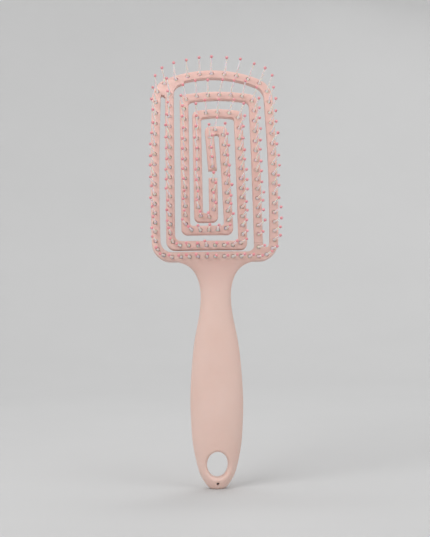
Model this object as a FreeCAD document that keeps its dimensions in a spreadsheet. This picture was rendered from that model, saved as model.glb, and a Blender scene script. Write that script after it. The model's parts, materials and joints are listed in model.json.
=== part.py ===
import FreeCAD, Part
import math
import os
import random

# Open-frame vent brush: a curved head of two nested flexing spiral arms inside a closed rim,
# nylon bristle pins with ball tips, and a hollow two-part handle with an oval hanging hole.
# Millimetres, +Z up the handle, bristles towards -Y. The origin is the middle of the grip.

Vector = FreeCAD.Vector
doc = FreeCAD.newDocument("VentBrush")
sheet = doc.addObject("Spreadsheet::Sheet", "Sizes")

DIMENSIONS = [
    # Head: a shallow ball-shaped shell, drawn on a plan plane that leans back with it.
    ("curve_radius", 330.0),      # mid surface of the head
    ("curve_centre_z", 63.0),     # height where the shell leaves the handle's plane
    ("plan_lean", 12.5),          # degrees the plan plane leans back
    ("front_rise", 2.0),          # front face above the mid surface
    ("split_drop", 0.4),          # joint of front and back plates below the mid surface
    ("seam", 0.05),               # glue line between the plates
    ("back_drop", 2.0),           # back face below the mid surface
    ("plan_above", 6.0),          # height of the plan prisms above the plan plane
    ("plan_below", 14.0),         # and below it
    # Corners of the rim's outline on the plan plane, and the radius of the bend at each.
    ("rim_foot_half_width", 35.9),
    ("rim_foot", -55.1),
    ("rim_foot_radius", 11.5),
    ("rim_bulge_half_width", 37.0),
    ("rim_bulge", -11.0),
    ("rim_bulge_radius", 1150.0),
    ("rim_shoulder_half_width", 35.05),
    ("rim_shoulder", 51.6),
    ("rim_shoulder_radius", 13.5),
    ("rim_peak", 65.3),
    ("rim_peak_radius", 71.0),
    ("band_width", 5.0),
    ("band_rounding", 0.7),       # of the arms' outward edges
    ("corner_fullness", 3.2),     # how much tighter a band's outer corners are than its bends
    ("root_gap", 0.35),
    # Bristle pins.
    ("pin_length", 18.0),
    ("pin_foot_diameter", 1.25),
    ("pin_neck_diameter", 0.7),
    ("flange_diameter", 2.6),
    ("flange_thickness", 0.7),
    ("tip_diameter", 1.8),
    ("flange_lift", 0.1),         # play under the flange
    ("hole_diameter", 2.3),
    ("hole_length", 6.0),         # of the drill, which leaves the front face
    ("pocket_diameter", 2.9),
    ("pocket_depth", 0.95),
    ("overrun", 1.0),             # of the pocket's cutter past the back of the plate
    ("pin_splay", 5.2),           # degrees sideways at the outer columns
    ("pin_scatter", 2.2),         # degrees of unevenness
    ("pitch_growth", 0.0035),     # how much the pin spacing grows per mm up the head
    ("rim_pins", 56.0),
    ("arm_a_pins", 55.0),
    ("arm_b_pins", 54.0),
    # Handle.
    ("handle_wall", 1.9),
    ("cavity_bottom", -46.8),
    ("cavity_top", 52.0),
    ("back_cover_top", 58.0),
    ("cover_block_side", 60.0),   # block round the back cover
    ("hang_height", -36.0),
    ("hang_half_width", 6.0),
    ("hang_half_height", 7.6),
    ("hang_wall", 2.6),
    ("hang_rounding", 1.5),
    ("pinhole_height", -46.7),    # small vent hole near the end, in the front
    ("pinhole_diameter", 1.5),
    ("cutter_length", 24.0),      # tools that run right through the handle
]
# Height, half width and half depth of each oval section of the handle.
SECTIONS = [
    (-50.0, 3.3, 2.4), (-49.3, 4.8, 3.3), (-47.3, 6.6, 4.2), (-43.0, 9.3, 5.1),
    (-36.3, 11.5, 5.8), (-25.5, 13.7, 6.7), (-11.2, 14.8, 7.4), (-2.1, 15.1, 7.6),
    (10.4, 14.7, 7.4), (25.8, 13.5, 6.8), (37.2, 11.9, 6.0), (46.9, 9.9, 5.2),
    (57.0, 8.7, 4.5), (63.0, 8.8, 4.1), (69.0, 10.1, 3.6), (74.0, 12.6, 3.0),
    (77.3, 16.4, 2.4), (79.4, 22.0, 1.8), (80.6, 28.0, 1.3),
]
for index, section in enumerate(SECTIONS):
    for word, value in zip(("height", "width", "depth"), section):
        DIMENSIONS.append((f"section_{word}_{index}", value))
for row, (alias, value) in enumerate(DIMENSIONS, start=1):
    sheet.set(f"A{row}", alias)
    sheet.set(f"B{row}", str(value))
    sheet.setAlias(f"B{row}", alias)
doc.recompute()


def size(alias):
    """The value of a named cell."""
    return float(sheet.get(alias))


LEAN = math.radians(size("plan_lean"))
RADIUS = size("curve_radius")
CENTRE = Vector(0, RADIUS, size("curve_centre_z"))
PLAN_NORMAL = Vector(0, -math.cos(LEAN), math.sin(LEAN))
PLAN = FreeCAD.Placement(
    CENTRE + PLAN_NORMAL * RADIUS,
    FreeCAD.Rotation(Vector(1, 0, 0), 90 - size("plan_lean")),
)
BAND = size("band_width")

# Centrelines of the two spiral arms on the plan plane, from the root to the free end:
# across, up, and the radius of the bend there. The wide bends arch the upper rows.
ARM_A_ROUTE = [
    (-25.2, 42.25, 0), (-25.4, -46.3, 6.2), (15.8, -46.3, 4.5), (14.7, 31.3, 4.2),
    (2.6, 32.8, 60), (-9.5, 31.3, 4.2), (-9.3, -30.6, 3.9), (-0.7, -30.6, 3.9), (-0.7, -7.4, 0),
]
ARM_B_ROUTE = [
    (24.8, -45.25, 0), (23.7, 42.0, 5.8), (3.5, 44.1, 100), (-16.7, 42.0, 5.2),
    (-16.7, -37.7, 4.4), (7.9, -37.7, 4.2), (5.6, 21.4, 3.8), (-2.4, 21.4, 3.8), (-0.8, -2.8, 0),
]
ARCH_RADIUS = 20              # wider bends than this are arches, not corners


# ---------------------------------------------------------------- document helpers
def bind(item, **expressions):
    """Ties properties of an object to cells of the sheet."""
    for name, expression in expressions.items():
        item.setExpression(name.replace("__", "."), expression)


def boolean(kind, name, base, tool):
    """A cut of two document objects."""
    item = doc.addObject(kind, name)
    item.Base = base
    item.Tool = tool
    return item


def gathered(kind, name, items):
    """A fusion or common part of several document objects."""
    item = doc.addObject(kind, name)
    item.Shapes = items
    return item


def ball(name, radius):
    """A ball round the head's centre of curvature."""
    item = doc.addObject("Part::Sphere", name)
    bind(item, Radius=radius)
    item.Placement = FreeCAD.Placement(CENTRE, FreeCAD.Rotation())
    return item


def plan_prism(name, edges):
    """A body padded square to the plan plane from a closed outline of lines and arcs."""
    body = doc.addObject("PartDesign::Body", name)
    body.Placement = PLAN
    plane = [f for f in body.Origin.OriginFeatures if f.Role == "XY_Plane"][0]
    sketch = body.newObject("Sketcher::SketchObject", name + "_outline")
    sketch.AttachmentSupport = [(plane, "")]
    sketch.MapMode = "FlatFace"
    for edge in edges:
        first = edge.valueAt(edge.FirstParameter)
        last = edge.valueAt(edge.LastParameter)
        if isinstance(edge.Curve, Part.Circle):
            middle = edge.valueAt((edge.FirstParameter + edge.LastParameter) / 2)
            sketch.addGeometry(Part.Arc(first, middle, last))
        else:
            sketch.addGeometry(Part.LineSegment(first, last))
    bind(sketch, AttachmentOffset__Base__z="-Sizes.plan_below")
    pad = body.newObject("PartDesign::Pad", name + "_pad")
    pad.Profile = sketch
    bind(pad, Length="Sizes.plan_above + Sizes.plan_below")
    return body


def section_loft(name, heights, inset):
    """A smooth solid through the handle's oval sections, or through them less a wall."""
    ovals = []
    for index in heights:
        oval = doc.addObject("Part::Ellipse", f"{name}_oval_{index}")
        bind(
            oval,
            MajorRadius=f"Sizes.section_width_{index}{inset}",
            MinorRadius=f"Sizes.section_depth_{index}{inset}",
            Placement__Base__z=f"Sizes.section_height_{index}",
        )
        ovals.append(oval)
    loft = doc.addObject("Part::Loft", name)
    loft.Sections = ovals
    loft.Solid = True
    loft.Ruled = False
    return loft


# ---------------------------------------------------------------- plan outlines
def rounded_path(corners):
    """A wire through corners of given place and bend radius, with every bend rounded."""
    points = [Vector(x, y, 0) for x, y, _ in corners]
    edges = []
    start = points[0]
    for before, corner, after, place in zip(points, points[1:], points[2:], corners[1:]):
        radius = place[2]
        inward = (before - corner).normalize()
        outward = (after - corner).normalize()
        half_angle = inward.getAngle(outward) / 2
        reach = radius / math.tan(half_angle)
        bisector = (inward + outward).normalize()
        middle = corner + bisector * (radius / math.sin(half_angle) - radius)
        arc_start = corner + inward * reach
        arc_end = corner + outward * reach
        edges.append(Part.LineSegment(start, arc_start).toShape())
        edges.append(Part.Arc(arc_start, middle, arc_end).toShape())
        start = arc_end
    edges.append(Part.LineSegment(start, points[-1]).toShape())
    return Part.Wire(edges)


def shifted(route, distance):
    """The corners and bend radii of a left-turning route moved sideways, to its left."""
    points = [Vector(x, y, 0) for x, y, _ in route]
    ways = [(b - a).normalize() for a, b in zip(points, points[1:])]
    lefts = [Vector(-way.y, way.x, 0) for way in ways]
    moved = [points[0] + lefts[0] * distance]
    for point, before, after in zip(points[1:-1], lefts, lefts[1:]):
        mitre = before + after
        moved.append(point + mitre * (2 * distance / mitre.Length ** 2))
    moved.append(points[-1] + lefts[-1] * distance)
    return [(p.x, p.y, place[2] - distance) for p, place in zip(moved, route)]


def rim_outline(inset):
    """The rim's outline with its bowed sides and arched top, moved in by an inset."""
    right = [
        (size(f"rim_{corner}_half_width"), size(f"rim_{corner}"), size(f"rim_{corner}_radius"))
        for corner in ("foot", "bulge", "shoulder")
    ]
    left = [(-x, y, radius) for x, y, radius in reversed(right)]
    peak = (0, size("rim_peak"), size("rim_peak_radius"))
    seam_point = (0, size("rim_foot"), 0)
    return rounded_path(shifted([seam_point, *right, peak, *left, seam_point], inset))


def block(near_x, near_y, far_x, far_y):
    """A flat rectangle on the plan between two opposite corners."""
    corners = [(near_x, near_y), (far_x, near_y), (far_x, far_y), (near_x, far_y)]
    points = [Vector(x, y, 0) for x, y in corners]
    return Part.Face(Part.makePolygon(points + points[:1]))


def disc(x, y, radius):
    """A flat disc on the plan."""
    return Part.Face(Part.Wire(Part.makeCircle(radius, Vector(x, y, 0))))


def root_pad(root, edge_x, fillet, rim_y, slot_x, slot_radius):
    """The rim's pad that an arm springs from, beside a round slot end on its outer side.

    edge_x is the arm's inner edge, which sweeps into the rim in a fillet.
    """
    side = math.copysign(1, root[0])
    up = math.copysign(1, root[1])
    start_y = root[1] + up * size("root_gap")
    fillet_x = edge_x - side * fillet
    fillet_y = rim_y - up * fillet
    inside_rim_x = side * (size("rim_bulge_half_width") - BAND / 2)
    inside_rim_y = rim_y + up * BAND / 2
    pad = block(fillet_x, start_y, inside_rim_x, inside_rim_y)
    pad = pad.cut(disc(fillet_x, fillet_y, fillet))
    pad = pad.cut(block(edge_x, start_y, fillet_x, fillet_y))
    return pad.cut(disc(slot_x, start_y, slot_radius))


half_band = BAND / 2
pad_a = root_pad(ARM_A_ROUTE[0], ARM_A_ROUTE[0][0] + half_band, 6.3, 51.5, -29.6, 1.85)
pad_b = root_pad(ARM_B_ROUTE[0], ARM_B_ROUTE[0][0] - half_band, 4.0, -50.1, 29.3, 1.95)
rim_opening = Part.Face(rim_outline(BAND)).cut(pad_a).cut(pad_b)
rim_inner = max(rim_opening.Faces, key=lambda face: face.Area).OuterWire


def arm_outline(route):
    """A band's centreline and its outline.

    Every bend of both arms turns left, so the left edge takes the smaller radius.
    """
    inner = rounded_path(shifted(route, BAND / 2))
    outer = rounded_path([
        (x, y, radius if radius > ARCH_RADIUS else radius - size("corner_fullness"))
        for x, y, radius in shifted(route, -BAND / 2)
    ])
    inner_ends = [inner.OrderedVertexes[i].Point for i in (0, -1)]
    outer_ends = [outer.OrderedVertexes[i].Point for i in (0, -1)]
    caps = [Part.makeLine(a, b) for a, b in zip(inner_ends, outer_ends)]
    loop = Part.Wire(Part.__sortEdges__(inner.Edges + outer.Edges + caps))
    return rounded_path(route), loop


path_a, outline_a = arm_outline(ARM_A_ROUTE)
path_b, outline_b = arm_outline(ARM_B_ROUTE)

# ---------------------------------------------------------------- curved plates of the head
front_ball = ball("front_ball", "Sizes.curve_radius + Sizes.front_rise")
split_ball_front = ball("split_ball_front", "Sizes.curve_radius - Sizes.split_drop")
split_ball_back = ball("split_ball_back", "Sizes.curve_radius - Sizes.split_drop - Sizes.seam")
back_ball = ball("back_ball", "Sizes.curve_radius - Sizes.back_drop")
front_skin = boolean("Part::Cut", "front_skin", front_ball, split_ball_front)
back_skin = boolean("Part::Cut", "back_skin", split_ball_back, back_ball)

rim_disc = plan_prism("rim_disc", rim_outline(0).Edges)
rim_window = plan_prism("rim_window", rim_inner.Edges)
rim_ring = boolean("Part::Cut", "rim_ring", rim_disc, rim_window)
band_a = plan_prism("band_a", outline_a.Edges)
band_b = plan_prism("band_b", outline_b.Edges)

# ---------------------------------------------------------------- bristle pins
rng = random.Random(7)


def spaced_points(wire, count, closed):
    """Points along a wire, a little farther apart towards the top of the head."""
    fine = wire.discretize(Number=1200)
    weights = [0.0]
    for here, there in zip(fine, fine[1:]):
        middle_y = (here.y + there.y) / 2
        step = here.distanceToPoint(there) / (1 + size("pitch_growth") * middle_y)
        weights.append(weights[-1] + step)
    gaps = count if closed else count - 1
    points = []
    for number in range(count):
        goal = weights[-1] * number / gaps
        nearest = min(range(len(fine)), key=lambda i: abs(weights[i] - goal))
        points.append(fine[nearest])
    return points


def on_shell(plan_point):
    """The point of the mid surface over a point of the plan, and the shell's normal there."""
    flat = PLAN.multVec(plan_point)
    across = flat - CENTRE - PLAN_NORMAL * RADIUS
    height = math.sqrt(RADIUS ** 2 - across.Length ** 2)
    normal = (across + PLAN_NORMAL * height) * (1 / RADIUS)
    return CENTRE + normal * RADIUS, normal


def pin_direction(normal, plan_point):
    """The way a pin stands: along the normal, splayed sideways, slightly uneven."""
    sideways = size("pin_splay") * math.tanh(plan_point.x / 9) - math.degrees(normal.x)
    sideways += rng.uniform(-1, 1) * size("pin_scatter")
    upwards = rng.uniform(-1, 1) * size("pin_scatter")
    lean = Vector(math.tan(math.radians(sideways)), 0, math.tan(math.radians(upwards)))
    return (normal + lean).normalize()


def bristle(plan_point):
    """One pin with its flange, its ball tip and the stepped bore that it sits in."""
    seat, normal = on_shell(plan_point)
    way = pin_direction(normal, plan_point)
    joint = seat - normal * size("split_drop")
    flange = Part.makeCylinder(
        size("flange_diameter") / 2,
        size("flange_thickness"),
        joint + normal * size("flange_lift"),
        normal,
    )
    reach = size("pin_length") + size("front_rise")
    shaft = Part.makeCone(
        size("pin_foot_diameter") / 2, size("pin_neck_diameter") / 2, reach, seat, way
    )
    pin = flange.fuse(shaft).removeSplitter()
    end = seat + way * reach
    tip = Part.makeSphere(size("tip_diameter") / 2, end)
    tip = tip.cut(pin)
    bore = Part.makeCylinder(size("hole_diameter") / 2, size("hole_length"), seat, normal)
    pocket = Part.makeCylinder(
        size("pocket_diameter") / 2,
        size("pocket_depth") + size("overrun"),
        joint - normal * size("overrun"),
        normal,
    )
    return pin, tip, bore.fuse(pocket)


def nearest_run(point, route):
    """The number of the stretch of a route that a point lies on; the inmost two count as one."""
    corners = [place for place in route if place[2] < ARCH_RADIUS]
    best = []
    for (x0, y0, _), (x1, y1, _) in zip(corners, corners[1:]):
        line = Part.LineSegment(Vector(x0, y0, 0), Vector(x1, y1, 0)).toShape()
        best.append(line.distToShape(Part.Vertex(point))[0])
    return min(best.index(min(best)) + 1, 6)


def rim_side(point):
    """The side of the rim that a point lies on."""
    if abs(point.x) > size("rim_bulge_half_width") - BAND - 1 and point.y < 42:
        return "left" if point.x < 0 else "right"
    return "top" if point.y > 0 else "bottom"


def trimmed_path(path, start, finish):
    """Pin stations' wire: the centreline less a stretch at each end."""
    fine = path.discretize(Distance=0.25)
    total = path.Length
    kept = [p for i, p in enumerate(fine) if start < i * total / len(fine) < total - finish]
    return Part.makePolygon(kept)


pins = {}
tips = {}
bores = {"rim": [], "a": [], "b": []}


def plant(points, part, group_of):
    """Sets a row of bristles and files them by group."""
    for point in points:
        pin, tip, bore = bristle(point)
        group = group_of(point)
        pins.setdefault(group, []).append(pin)
        tips.setdefault(group, []).append(tip)
        bores[part].append(bore)


plant(
    spaced_points(rim_outline(half_band), int(size("rim_pins")), True),
    "rim",
    lambda point: "rim_" + rim_side(point),
)
plant([Vector(-25.1, 44.8, 0)], "rim", lambda point: "rim_top")
plant([Vector(24.7, -47.3, 0)], "rim", lambda point: "rim_bottom")
plant(
    spaced_points(trimmed_path(path_a, 5.2, 2.2), int(size("arm_a_pins")), False),
    "a",
    lambda point: f"arm_a_run_{nearest_run(point, ARM_A_ROUTE)}",
)
plant(
    spaced_points(trimmed_path(path_b, 5.2, 2.2), int(size("arm_b_pins")), False),
    "b",
    lambda point: f"arm_b_run_{nearest_run(point, ARM_B_ROUTE)}",
)


def feature(name, shapes):
    """A document object that holds finished solids."""
    item = doc.addObject("Part::Feature", name)
    item.Shape = Part.makeCompound(shapes)
    return item


bore_tools = {part: feature(f"bores_{part}", shapes) for part, shapes in bores.items()}

# ---------------------------------------------------------------- handle
handle_outer = section_loft("handle_outer", range(len(SECTIONS)), "")
cavity_sections = [
    index for index, section in enumerate(SECTIONS)
    if size("cavity_bottom") < section[0] < size("cavity_top")
]
handle_core = section_loft("handle_core", cavity_sections, " - Sizes.handle_wall")


def cross_oval(name, growth):
    """The hanging hole's oval, made larger all round by a growth, in front of the handle."""
    oval = doc.addObject("Part::Ellipse", name)
    bind(
        oval,
        MajorRadius="Sizes.hang_half_height" + growth,
        MinorRadius="Sizes.hang_half_width" + growth,
    )
    oval.Placement = FreeCAD.Placement(
        Vector(0, -size("cutter_length") / 2, size("hang_height")),
        FreeCAD.Rotation(Vector(0, 0, 1), Vector(1, 0, 0), Vector(0, 1, 0), "XZY"),
    )
    bar = doc.addObject("Part::Extrusion", name + "_bar")
    bar.Base = oval
    bar.Dir = Vector(0, 1, 0)
    bind(bar, LengthFwd="Sizes.cutter_length")
    bar.Solid = True
    return bar


def on_hang_rim(edge):
    """Whether an edge runs round a mouth of the hanging hole."""
    points = edge.discretize(5)
    across = [p.x / size("hang_half_width") for p in points]
    along = [(p.z - size("hang_height")) / size("hang_half_height") for p in points]
    round_it = all(abs(math.hypot(a, b) - 1) < 0.01 for a, b in zip(across, along))
    return round_it and len({round(p.y, 1) for p in points}) > 1 and edge.Length > 3


hang_bar = cross_oval("hang_oval", "")
boss = cross_oval("boss_oval", " + Sizes.hang_wall")
cavity = boolean("Part::Cut", "handle_cavity", handle_core, boss)

pinhole = doc.addObject("Part::Cylinder", "pinhole_tool")
bind(pinhole, Radius="Sizes.pinhole_diameter / 2", Height="Sizes.cutter_length / 2")
pinhole.Placement = FreeCAD.Placement(
    Vector(0, 0, size("pinhole_height")), FreeCAD.Rotation(Vector(1, 0, 0), 90)
)

cover_block = doc.addObject("Part::Box", "cover_block")
cover_block.Placement = FreeCAD.Placement(
    Vector(-size("cover_block_side") / 2, 0, -size("cover_block_side")), FreeCAD.Rotation()
)
bind(
    cover_block,
    Length="Sizes.cover_block_side",
    Width="Sizes.cover_block_side",
    Height="Sizes.cover_block_side + Sizes.back_cover_top",
)

pierced_handle = boolean("Part::Cut", "pierced_handle", handle_outer, hang_bar)
doc.recompute()
soft_handle = doc.addObject("Part::Fillet", "soft_handle")
soft_handle.Base = pierced_handle
soft_handle.Edges = [
    (number, size("hang_rounding"), size("hang_rounding"))
    for number, edge in enumerate(pierced_handle.Shape.Edges, start=1)
    if on_hang_rim(edge)
]
hollow_handle = boolean("Part::Cut", "hollow_handle", soft_handle, cavity)
drilled_handle = boolean("Part::Cut", "drilled_handle", hollow_handle, pinhole)


def rounded_plate(name, blank, ball_radius, root):
    """An arm's plate with the edges of its curved outward face rounded, except at the root."""
    doc.recompute()
    to_plan = PLAN.inverse()
    rounding = size("band_rounding")
    item = doc.addObject("Part::Fillet", name)
    item.Base = blank
    chosen = []
    for number, edge in enumerate(blank.Shape.Edges, start=1):
        first, centre, last = edge.discretize(3)
        outward = all(abs((p - CENTRE).Length - ball_radius) < 0.01 for p in (first, centre, last))
        if outward and abs(to_plan.multVec(centre).y - root[1]) > 0.01:
            chosen.append((number, rounding, rounding))
    item.Edges = chosen
    return item


# ---------------------------------------------------------------- finished nodes
handle_front = boolean("Part::Cut", "handle_front", drilled_handle, cover_block)
handle_back = gathered("Part::MultiCommon", "handle_back", [drilled_handle, cover_block])
rim_front = gathered("Part::MultiCommon", "rim_front", [rim_ring, front_skin])
rim_back = gathered("Part::MultiCommon", "rim_back", [rim_ring, back_skin])
clear_neck = boolean("Part::Cut", "clear_neck", handle_front, rim_disc)
front_blank = gathered("Part::MultiFuse", "front_blank", [clear_neck, rim_front])
front_shell = boolean("Part::Cut", "front_shell", front_blank, bore_tools["rim"])
nodes = [front_shell, handle_back, rim_back]
for letter, band, route in (("a", band_a, ARM_A_ROUTE), ("b", band_b, ARM_B_ROUTE)):
    arm = f"arm_{letter}"
    blank_front = gathered("Part::MultiCommon", f"{arm}_blank_front", [band, front_skin])
    blank_back = gathered("Part::MultiCommon", f"{arm}_blank_back", [band, back_skin])
    face_radius = RADIUS + size("front_rise")
    back_radius = RADIUS - size("back_drop")
    soft_front = rounded_plate(f"{arm}_soft_front", blank_front, face_radius, route[0])
    soft_back = rounded_plate(f"{arm}_back", blank_back, back_radius, route[0])
    nodes.append(boolean("Part::Cut", f"{arm}_front", soft_front, bore_tools[letter]))
    nodes.append(soft_back)
for group in pins:
    nodes.append(feature(f"pins_{group}", pins[group]))
    nodes.append(feature(f"tips_{group}", tips[group]))
doc.recompute()

# ---------------------------------------------------------------- checks and export
for item in doc.Objects:
    if "Invalid" in item.State or "Error" in item.State:
        raise RuntimeError(f"{item.Name} did not build")
os.makedirs("parts", exist_ok=True)
for node in nodes:
    node.Label = node.Name
    if node.Shape.isNull() or not node.Shape.isValid() or not node.Shape.Solids:
        raise RuntimeError(f"{node.Label} has no sound shape")
    node.Shape.exportStep(f"parts/{node.Label}.step")
    box = node.Shape.BoundBox
    print(
        f"{node.Label}: {len(node.Shape.Solids)} solids, {node.Shape.Volume:.1f} mm3, "
        f"y {box.YMin:.1f} to {box.YMax:.1f}, z {box.ZMin:.1f} to {box.ZMax:.1f}"
    )
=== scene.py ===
import json
import math
import random

import bmesh
import bpy
from mathutils import Matrix, Vector


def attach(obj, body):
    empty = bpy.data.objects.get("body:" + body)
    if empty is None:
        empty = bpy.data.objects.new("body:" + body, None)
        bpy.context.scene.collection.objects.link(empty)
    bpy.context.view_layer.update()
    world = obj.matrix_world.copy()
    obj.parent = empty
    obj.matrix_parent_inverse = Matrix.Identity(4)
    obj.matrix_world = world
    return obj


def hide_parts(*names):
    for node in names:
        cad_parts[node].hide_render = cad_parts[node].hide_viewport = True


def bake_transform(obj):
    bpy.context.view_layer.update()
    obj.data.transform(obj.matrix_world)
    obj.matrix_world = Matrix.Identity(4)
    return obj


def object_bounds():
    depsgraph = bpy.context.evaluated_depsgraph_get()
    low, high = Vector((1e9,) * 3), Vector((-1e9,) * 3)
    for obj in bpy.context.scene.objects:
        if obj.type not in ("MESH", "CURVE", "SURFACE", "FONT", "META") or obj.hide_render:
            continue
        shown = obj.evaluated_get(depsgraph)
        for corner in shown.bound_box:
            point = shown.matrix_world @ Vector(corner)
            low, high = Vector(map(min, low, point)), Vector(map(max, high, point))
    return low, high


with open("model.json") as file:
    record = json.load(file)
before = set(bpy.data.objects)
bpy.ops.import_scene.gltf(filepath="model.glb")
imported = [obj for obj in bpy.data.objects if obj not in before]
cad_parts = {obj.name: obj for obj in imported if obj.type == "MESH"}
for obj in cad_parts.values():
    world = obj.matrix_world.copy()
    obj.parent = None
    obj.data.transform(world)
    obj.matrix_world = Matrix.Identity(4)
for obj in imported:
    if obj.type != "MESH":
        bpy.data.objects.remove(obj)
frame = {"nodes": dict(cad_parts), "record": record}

# Vent brush with two nested spiral arms: moulded pink shells, nylon pins, ball tips.
# Metres, in the CAD's frame: Z up the handle, bristles to -Y, origin in the grip.
CAD_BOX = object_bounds()
MM = 0.001
NODES = frame["nodes"]
rng = random.Random(11)


def linear(red, green, blue):
    """A display colour of 0 to 255 as scene-linear RGBA."""
    channels = []
    for value in (red, green, blue):
        share = value / 255
        channels.append(share / 12.92 if share <= 0.04045 else ((share + 0.055) / 1.055) ** 2.4)
    return (*channels, 1.0)


# ------------------------------------------------------------------ materials
EDGE_ROUNDING = 0.7 * MM
# Between these heights the grip's own tone gives way to the head's pinker, darker tone, which
# is painted bounce light and shade.
PAINTED_BOUNCE_LOW_Z = 55 * MM            # the grip's tone gives way to the head's between these heights
PAINTED_BOUNCE_HIGH_Z = 95 * MM


class Recipe:
    """A node material with a few helpers."""

    def __init__(self, name):
        self.material = bpy.data.materials.new(name)
        self.material.use_nodes = True
        self.nodes = self.material.node_tree.nodes
        self.links = self.material.node_tree.links
        self.shader = self.nodes["Principled BSDF"]
        self.place = self.nodes.new("ShaderNodeTexCoord").outputs["Object"]

    def set(self, **values):
        for name, value in values.items():
            self.shader.inputs[name.replace("_", " ")].default_value = value

    def noise(self, scale, detail=3.0, roughness=0.55):
        node = self.nodes.new("ShaderNodeTexNoise")
        node.inputs["Scale"].default_value = scale
        node.inputs["Detail"].default_value = detail
        node.inputs["Roughness"].default_value = roughness
        self.links.new(self.place, node.inputs["Vector"])
        return node.outputs["Fac"]

    def ramp(self, source, stops):
        node = self.nodes.new("ShaderNodeValToRGB")
        while len(node.color_ramp.elements) < len(stops):
            node.color_ramp.elements.new(0.5)
        for element, (position, colour) in zip(node.color_ramp.elements, stops):
            element.position = position
            element.color = colour
        self.links.new(source, node.inputs["Fac"])
        return node.outputs["Color"]

    def spread(self, source, low, high):
        node = self.nodes.new("ShaderNodeMapRange")
        node.inputs["From Min"].default_value = 0.3
        node.inputs["From Max"].default_value = 0.7
        node.inputs["To Min"].default_value = low
        node.inputs["To Max"].default_value = high
        self.links.new(source, node.inputs["Value"])
        return node.outputs["Result"]

    def blend_up(self, lower, upper, low_z, high_z):
        """One colour below a height, another above it."""
        split = self.nodes.new("ShaderNodeSeparateXYZ")
        self.links.new(self.place, split.inputs["Vector"])
        height = self.nodes.new("ShaderNodeMapRange")
        height.inputs["From Min"].default_value = low_z
        height.inputs["From Max"].default_value = high_z
        self.links.new(split.outputs["Z"], height.inputs["Value"])
        mix = self.nodes.new("ShaderNodeMix")
        mix.data_type = "RGBA"
        self.links.new(height.outputs["Result"], mix.inputs["Factor"])
        self.links.new(lower, mix.inputs["A"])
        self.links.new(upper, mix.inputs["B"])
        return mix.outputs["Result"]

    def bump(self, source, strength, distance, below=None):
        node = self.nodes.new("ShaderNodeBump")
        node.inputs["Strength"].default_value = strength
        node.inputs["Distance"].default_value = distance
        self.links.new(source, node.inputs["Height"])
        if below:
            self.links.new(below, node.inputs["Normal"])
        return node.outputs["Normal"]

    def feed(self, source, socket):
        self.links.new(source, self.shader.inputs[socket])


def moulded_pink():
    """Soft-touch moulded plastic: faint clouding, fine texture of the mould, and a pinker,
    darker head that is painted bounce light and shade.
    """
    recipe = Recipe("moulded_pink")
    recipe.set(Subsurface_Weight=0.12, Subsurface_Scale=0.002, Sheen_Weight=0.12)
    recipe.set(Sheen_Roughness=0.4, Specular_IOR_Level=0.4)
    recipe.shader.inputs["Subsurface Radius"].default_value = (1.0, 0.45, 0.35)
    cloud = recipe.noise(38.0, 4.0)
    grip = recipe.ramp(cloud, [(0.3, linear(225, 193, 181)), (0.7, linear(230, 200, 189))])
    # The head's tone is the same pink with painted bounce light and shade on it: pinker and
    # darker.
    head_painted_bounce_and_shade = recipe.ramp(cloud, [(0.3, linear(223, 184, 174)), (0.7, linear(228, 191, 182))])
    recipe.feed(recipe.blend_up(grip, head_painted_bounce_and_shade, PAINTED_BOUNCE_LOW_Z, PAINTED_BOUNCE_HIGH_Z), "Base Color")
    recipe.feed(recipe.spread(recipe.noise(260.0), 0.47, 0.58), "Roughness")
    soft_edge = recipe.nodes.new("ShaderNodeBevel")
    soft_edge.samples = 6
    soft_edge.inputs["Radius"].default_value = EDGE_ROUNDING
    fine = recipe.bump(recipe.noise(2600.0, 2.0), 0.22, 0.00012, soft_edge.outputs["Normal"])
    recipe.feed(recipe.bump(recipe.noise(150.0, 2.0), 0.08, 0.0004, fine), "Normal")
    return recipe.material


def milky_nylon():
    """White nylon monofilament, painted pink at the foot in its hole as light reflected from
    the shell.
    """
    recipe = Recipe("milky_nylon")
    recipe.set(Roughness=0.32, IOR=1.52, Subsurface_Weight=0.4, Subsurface_Scale=0.0012)
    height = recipe.nodes.new("ShaderNodeAttribute")
    height.attribute_name = "along"
    streak = recipe.noise(900.0)
    mix = recipe.nodes.new("ShaderNodeMath")
    mix.operation = "MULTIPLY_ADD"
    mix.inputs[1].default_value = 0.05
    recipe.links.new(streak, mix.inputs[0])
    recipe.links.new(height.outputs["Fac"], mix.inputs[2])
    recipe.feed(
        recipe.ramp(mix.outputs["Value"], [
            # The first stop is painted light: the foot in its hole gets the pink of light
            # reflected from the shell.
            (0.03, linear(226, 188, 178)),
            (0.08, linear(246, 242, 240)),
            (1.0, linear(247, 247, 246)),
        ]),
        "Base Color",
    )
    recipe.feed(recipe.bump(streak, 0.1, 0.00004), "Normal")
    return recipe.material


def dipped_tip():
    """Dipped resin drops: a deeper pink with a soft gloss."""
    recipe = Recipe("dipped_tip")
    recipe.set(Coat_Weight=0.25, Coat_Roughness=0.15, Subsurface_Weight=0.15)
    recipe.set(Subsurface_Scale=0.0006)
    tint = recipe.noise(420.0, 2.0)
    recipe.feed(
        recipe.ramp(tint, [
            (0.3, linear(221, 141, 147)),
            (0.7, linear(232, 161, 165)),
        ]),
        "Base Color",
    )
    recipe.feed(recipe.spread(tint, 0.3, 0.42), "Roughness")
    return recipe.material


def seamless_paper():
    """The pale studio sweep."""
    recipe = Recipe("seamless_paper")
    recipe.set(Roughness=0.9, Specular_IOR_Level=0.1)
    recipe.feed(
        recipe.ramp(recipe.noise(6.0), [
            (0.2, linear(194, 194, 194)),
            (0.8, linear(197, 197, 197)),
        ]),
        "Base Color",
    )
    recipe.feed(recipe.bump(recipe.noise(1500.0), 0.05, 0.0002), "Normal")
    return recipe.material


PINK = moulded_pink()
NYLON = milky_nylon()
TIP = dipped_tip()
PAPER = seamless_paper()


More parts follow.
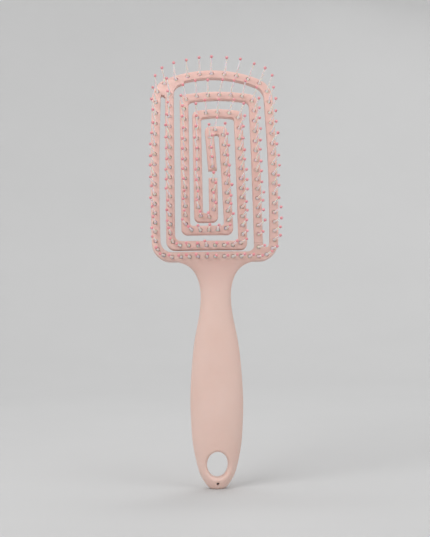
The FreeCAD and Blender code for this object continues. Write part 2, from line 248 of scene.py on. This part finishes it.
# ------------------------------------------------------------------ mesh helpers
def piece_from(name, build, material):
    """A new smooth-shaded mesh object filled in by a bmesh builder."""
    mesh = bpy.data.meshes.new(name)
    work = bmesh.new()
    build(work)
    bmesh.ops.recalc_face_normals(work, faces=work.faces)
    for face in work.faces:
        face.smooth = True
    work.to_mesh(mesh)
    work.free()
    mesh.materials.append(material)
    item = bpy.data.objects.new(name, mesh)
    bpy.context.scene.collection.objects.link(item)
    return item


def islands(node):
    """The separate solids of a CAD node, each a list of its points."""
    mesh = node.data
    owner = {}
    label = [
        owner.setdefault(tuple(round(c * 1e6) for c in vertex.co), len(owner))
        for vertex in mesh.vertices
    ]
    root = list(range(len(owner)))

    def find(item):
        while root[item] != item:
            root[item] = root[root[item]]
            item = root[item]
        return item

    for polygon in mesh.polygons:
        first = find(label[polygon.vertices[0]])
        for vertex in polygon.vertices[1:]:
            root[find(label[vertex])] = first
    groups = {}
    for vertex in mesh.vertices:
        groups.setdefault(find(label[vertex.index]), []).append(vertex.co.copy())
    return list(groups.values())


def middle(points):
    """The centre of the box round some points."""
    low = Vector(min(p[i] for p in points) for i in range(3))
    high = Vector(max(p[i] for p in points) for i in range(3))
    return (low + high) / 2


def side_axes(way):
    """Two directions square to a direction."""
    across = way.cross(Vector((0, 0, 1))).normalized()
    return across, way.cross(across).normalized()


def lathe(work, stations, segments, layer=None):
    """Rings of given centre, direction and radius joined into a closed round body."""
    rings = []
    for centre, way, radius, share in stations:
        across, upright = side_axes(way)
        ring = []
        for step in range(segments):
            angle = 2 * math.pi * step / segments
            offset = across * math.cos(angle) + upright * math.sin(angle)
            vertex = work.verts.new(centre + offset * radius)
            if layer is not None:
                vertex[layer] = share
            ring.append(vertex)
        rings.append(ring)
    for lower, upper in zip(rings, rings[1:]):
        for step in range(segments):
            after = (step + 1) % segments
            work.faces.new((lower[step], lower[after], upper[after], upper[step]))
    work.faces.new(list(reversed(rings[0])))
    work.faces.new(rings[-1])


# ------------------------------------------------------------------ bristles
# Each pin is a flange, a boss that fills the hole and a shaft tapering to the neck of its tip.
FLANGE_RADIUS = 1.3 * MM
FLANGE_HEIGHT = 0.7 * MM
BOSS_RADIUS = 1.02 * MM
BOSS_HEIGHT = 1.65 * MM
FOOT_RADIUS = 0.66 * MM
NECK_RADIUS = 0.34 * MM
TIP_RADIUS = 0.88 * MM
SIDEWAYS_BOW = 0.35 * MM
FLANGE_REACH = 1.4 * MM       # how far the flange's points lie from a pin's farthest point
SHAFT_STEPS = 10
PIN_SIDES = 10
TIP_STEPS = 10
TIP_SIDES = 14
TIP_LENGTHENING = 1.04
TIP_COLLAR = 1.32             # where a tip's collar starts, in tip radii below its middle
TIP_FIRST_ANGLE = 0.17        # first and last ring of a tip, in half turns from the collar
TIP_LAST_ANGLE = 0.98


def pin_and_tip_places(pin_node, tip_node):
    """Foot and ball centre of every bristle of a CAD group."""
    balls = [middle(points) for points in islands(tip_node)]
    places = []
    for points in islands(pin_node):
        nearest = min(balls, key=lambda ball: min((p - ball).length for p in points))
        reach = max((p - nearest).length for p in points)
        foot_points = [p for p in points if (p - nearest).length > reach - FLANGE_REACH]
        places.append((middle(foot_points), nearest))
    return places


def bristle_curve(foot, ball):
    """A slightly bowed line from the foot to the ball, as a function of its share."""
    chord = ball - foot
    across, upright = side_axes(chord.normalized())
    turn = rng.uniform(0, 2 * math.pi)
    bow = (across * math.cos(turn) + upright * math.sin(turn)) * rng.uniform(0, SIDEWAYS_BOW)

    def place(share):
        return foot + chord * share + bow * (4 * share * (1 - share))

    return place


def build_bristles(group, body):
    """Replaces a CAD group of pins and its ball tips with finer ones."""
    places = pin_and_tip_places(NODES["pins_" + group], NODES["tips_" + group])
    curves = [bristle_curve(foot, ball) for foot, ball in places]

    def pins(work):
        layer = work.verts.layers.float.new("along")
        for (foot, ball), place in zip(places, curves):
            length = (ball - foot).length
            way = (place(0.05) - place(0)).normalized()
            stations = [
                (foot - way * FLANGE_HEIGHT / 2, way, FLANGE_RADIUS, 0.0),
                (foot + way * FLANGE_HEIGHT / 2, way, FLANGE_RADIUS, 0.0),
                (foot + way * FLANGE_HEIGHT * 0.6, way, BOSS_RADIUS, 0.02),
                (foot + way * BOSS_HEIGHT, way, BOSS_RADIUS * 0.97, 0.03),
                (foot + way * BOSS_HEIGHT * 1.1, way, FOOT_RADIUS * 1.1, 0.06),
            ]
            for step in range(1, SHAFT_STEPS + 1):
                share = step / SHAFT_STEPS
                here = place(share)
                heading = (place(min(share + 0.02, 1.02)) - place(share - 0.02)).normalized()
                radius = FOOT_RADIUS + (NECK_RADIUS - FOOT_RADIUS) * share
                stations.append((here, heading, radius, share))
            lathe(work, stations, PIN_SIDES, layer)

    def tips(work):
        for (foot, ball), place in zip(places, curves):
            way = (place(1.0) - place(0.95)).normalized()
            size = TIP_RADIUS * rng.uniform(0.94, 1.05)
            stations = [(ball - way * size * TIP_COLLAR, way, NECK_RADIUS * 1.06, 0)]
            for step in range(TIP_STEPS):
                share = step / (TIP_STEPS - 1)
                turn = TIP_FIRST_ANGLE + (TIP_LAST_ANGLE - TIP_FIRST_ANGLE) * share
                centre = ball - way * size * TIP_LENGTHENING * math.cos(math.pi * turn)
                stations.append((centre, way, size * math.sin(math.pi * turn), 0))
            lathe(work, stations, TIP_SIDES)

    pin_piece = piece_from("bristles_" + group, pins, NYLON)
    tip_piece = piece_from("ball_tips_" + group, tips, TIP)
    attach(pin_piece, body)
    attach(tip_piece, body)
    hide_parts("pins_" + group)
    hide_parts("tips_" + group)


for body, members in frame["record"]["behaviour"]["bodies"].items():
    for member in sorted(members):
        if member.startswith("pins_"):
            build_bristles(member[len("pins_"):], body)

# ------------------------------------------------------------------ moulded shells
SHELLS = [name for name in NODES if not name.startswith(("pins_", "tips_"))]
for name in SHELLS:
    shell = NODES[name]
    for slot in shell.material_slots:
        slot.material = PINK

# ------------------------------------------------------------------ roots of the arms
CURVE_RADIUS = 330 * MM
CURVE_CENTRE = Vector((0, CURVE_RADIUS, 63 * MM))
PLAN_LEAN = math.radians(12.5)
PLAN_NORMAL = Vector((0, -math.cos(PLAN_LEAN), math.sin(PLAN_LEAN)))
PLAN_UP = Vector((0, math.sin(PLAN_LEAN), math.cos(PLAN_LEAN)))
BAND_WIDTH = 5 * MM
BAND_HALF_THICKNESS = 2 * MM
BAND_ROUNDING = 0.7 * MM
BRIDGE_SINK = 0.04 * MM       # the bridges lie this far under the arms' surfaces
BRIDGE_REACH = 1.0 * MM       # and this far into the arm and into the pad
BRIDGE_STEPS = 4
CORNER_STEPS = 3


def on_head(across, up, rise):
    """The point over a plan position at a height from the head's mid surface."""
    depth = math.sqrt((CURVE_RADIUS + rise) ** 2 - across ** 2 - up ** 2)
    return CURVE_CENTRE + Vector((across, 0, 0)) + PLAN_UP * up + PLAN_NORMAL * depth


def root_bridge(name, across, gap_up, inward):
    """The short stretch of band that joins an arm to its rim pad without a break."""
    half_width = BAND_WIDTH / 2 - BRIDGE_SINK
    half_depth = BAND_HALF_THICKNESS - BRIDGE_SINK
    stations = [
        gap_up - inward * BRIDGE_REACH * (1 - 2 * step / BRIDGE_STEPS)
        for step in range(BRIDGE_STEPS + 1)
    ]
    outline = []
    for quarter, (x_side, h_side) in enumerate(((1, 1), (-1, 1), (-1, -1), (1, -1))):
        for step in range(CORNER_STEPS + 1):
            angle = math.pi / 2 * (quarter + step / CORNER_STEPS)
            outline.append((
                x_side * (half_width - BAND_ROUNDING) + BAND_ROUNDING * math.cos(angle),
                h_side * (half_depth - BAND_ROUNDING) + BAND_ROUNDING * math.sin(angle),
            ))

    def build(work):
        rings = [
            [work.verts.new(on_head(across + x, up, rise)) for x, rise in outline]
            for up in stations
        ]
        for lower, upper in zip(rings, rings[1:]):
            for step in range(len(outline)):
                after = (step + 1) % len(outline)
                work.faces.new((lower[step], lower[after], upper[after], upper[step]))
        work.faces.new(list(reversed(rings[0])))
        work.faces.new(rings[-1])

    piece = piece_from(name, build, PINK)
    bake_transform(piece)


# The middle of each root gap on the plan, and the way from the rim into the arm.
root_bridge("root_of_arm_a", -25.2 * MM, 42.42 * MM, -1)
root_bridge("root_of_arm_b", 24.8 * MM, -45.42 * MM, 1)

# ------------------------------------------------------------------ studio
FLOOR_Z = CAD_BOX[0][2]
FLOOR_RADIUS = 0.6
BEND_RADIUS = 0.85
RIM_HEIGHT = 0.02
BEND_STEPS = 24
ROUND_STEPS = 96


def sweep(work):
    """A round paper floor that curves up into a low wall on every side."""
    profile = []
    for step in range(BEND_STEPS + 1):
        angle = math.pi / 2 * step / BEND_STEPS
        profile.append((
            FLOOR_RADIUS + BEND_RADIUS * math.sin(angle),
            FLOOR_Z + BEND_RADIUS * (1 - math.cos(angle)),
        ))
    profile.append((FLOOR_RADIUS + BEND_RADIUS, FLOOR_Z + BEND_RADIUS + RIM_HEIGHT))
    rings = []
    for radius, z in profile:
        turns = [2 * math.pi * step / ROUND_STEPS for step in range(ROUND_STEPS)]
        rings.append([
            work.verts.new((radius * math.cos(turn), radius * math.sin(turn), z))
            for turn in turns
        ])
    work.faces.new(rings[0])
    for inner, outer in zip(rings, rings[1:]):
        for step in range(ROUND_STEPS):
            after = (step + 1) % ROUND_STEPS
            work.faces.new((inner[step], inner[after], outer[after], outer[step]))


backdrop = piece_from("studio_sweep", sweep, PAPER)


def softbox(name, place, target, width, height, power):
    """A large soft area light."""
    light = bpy.data.lights.new(name, "AREA")
    light.shape = "RECTANGLE"
    light.size = width
    light.size_y = height
    light.energy = power
    item = bpy.data.objects.new(name, light)
    item.location = place
    item.rotation_euler = (Vector(target) - Vector(place)).to_track_quat("-Z", "Y").to_euler()
    bpy.context.scene.collection.objects.link(item)


# Place, target, width, height and power of each light.
softbox("key", (-0.75, -0.85, 0.95), (0, 0, 0.08), 0.9, 0.9, 9.6)
softbox("fill", (0.95, -0.8, 0.35), (0, 0, 0.05), 1.0, 1.0, 6.8)
softbox("top", (0.0, -0.1, 1.3), (0, 0.1, 0), 1.2, 1.0, 5.0)
softbox("rear", (0.5, 0.95, 0.9), (0, 0, 0.08), 0.8, 0.8, 2.2)
softbox("wall_wash", (0.0, 0.35, 1.25), (0, 1.3, 0.0), 1.0, 0.5, 4.8)

world = bpy.data.worlds.new("studio")
world.use_nodes = True
world.node_tree.nodes["Background"].inputs["Color"].default_value = (1, 1, 1, 1)
world.node_tree.nodes["Background"].inputs["Strength"].default_value = 0.32
bpy.context.scene.world = world
bpy.context.scene.view_settings.view_transform = "Standard"

# ------------------------------------------------------------------ camera
CAMERA_DISTANCE = 0.70
CAMERA_AZIMUTH = math.radians(-2.5)
CAMERA_HEIGHT = 0.0754
AIM = Vector((-0.0003, 0, CAMERA_HEIGHT))
ROLL = math.radians(-0.55)

camera_data = bpy.data.cameras.new("camera")
camera_data.sensor_fit = "VERTICAL"
camera_data.sensor_height = 36
camera_data.lens = 82.3
camera_data.clip_start = 0.01
camera = bpy.data.objects.new("camera", camera_data)
camera.location = AIM + Vector((
    CAMERA_DISTANCE * math.sin(CAMERA_AZIMUTH),
    -CAMERA_DISTANCE * math.cos(CAMERA_AZIMUTH),
    0,
))
aimed = (AIM - camera.location).to_track_quat("-Z", "Y").to_matrix().to_4x4()
camera.rotation_euler = (aimed @ Matrix.Rotation(ROLL, 4, "Z")).to_euler()
bpy.context.scene.collection.objects.link(camera)
bpy.context.scene.camera = camera
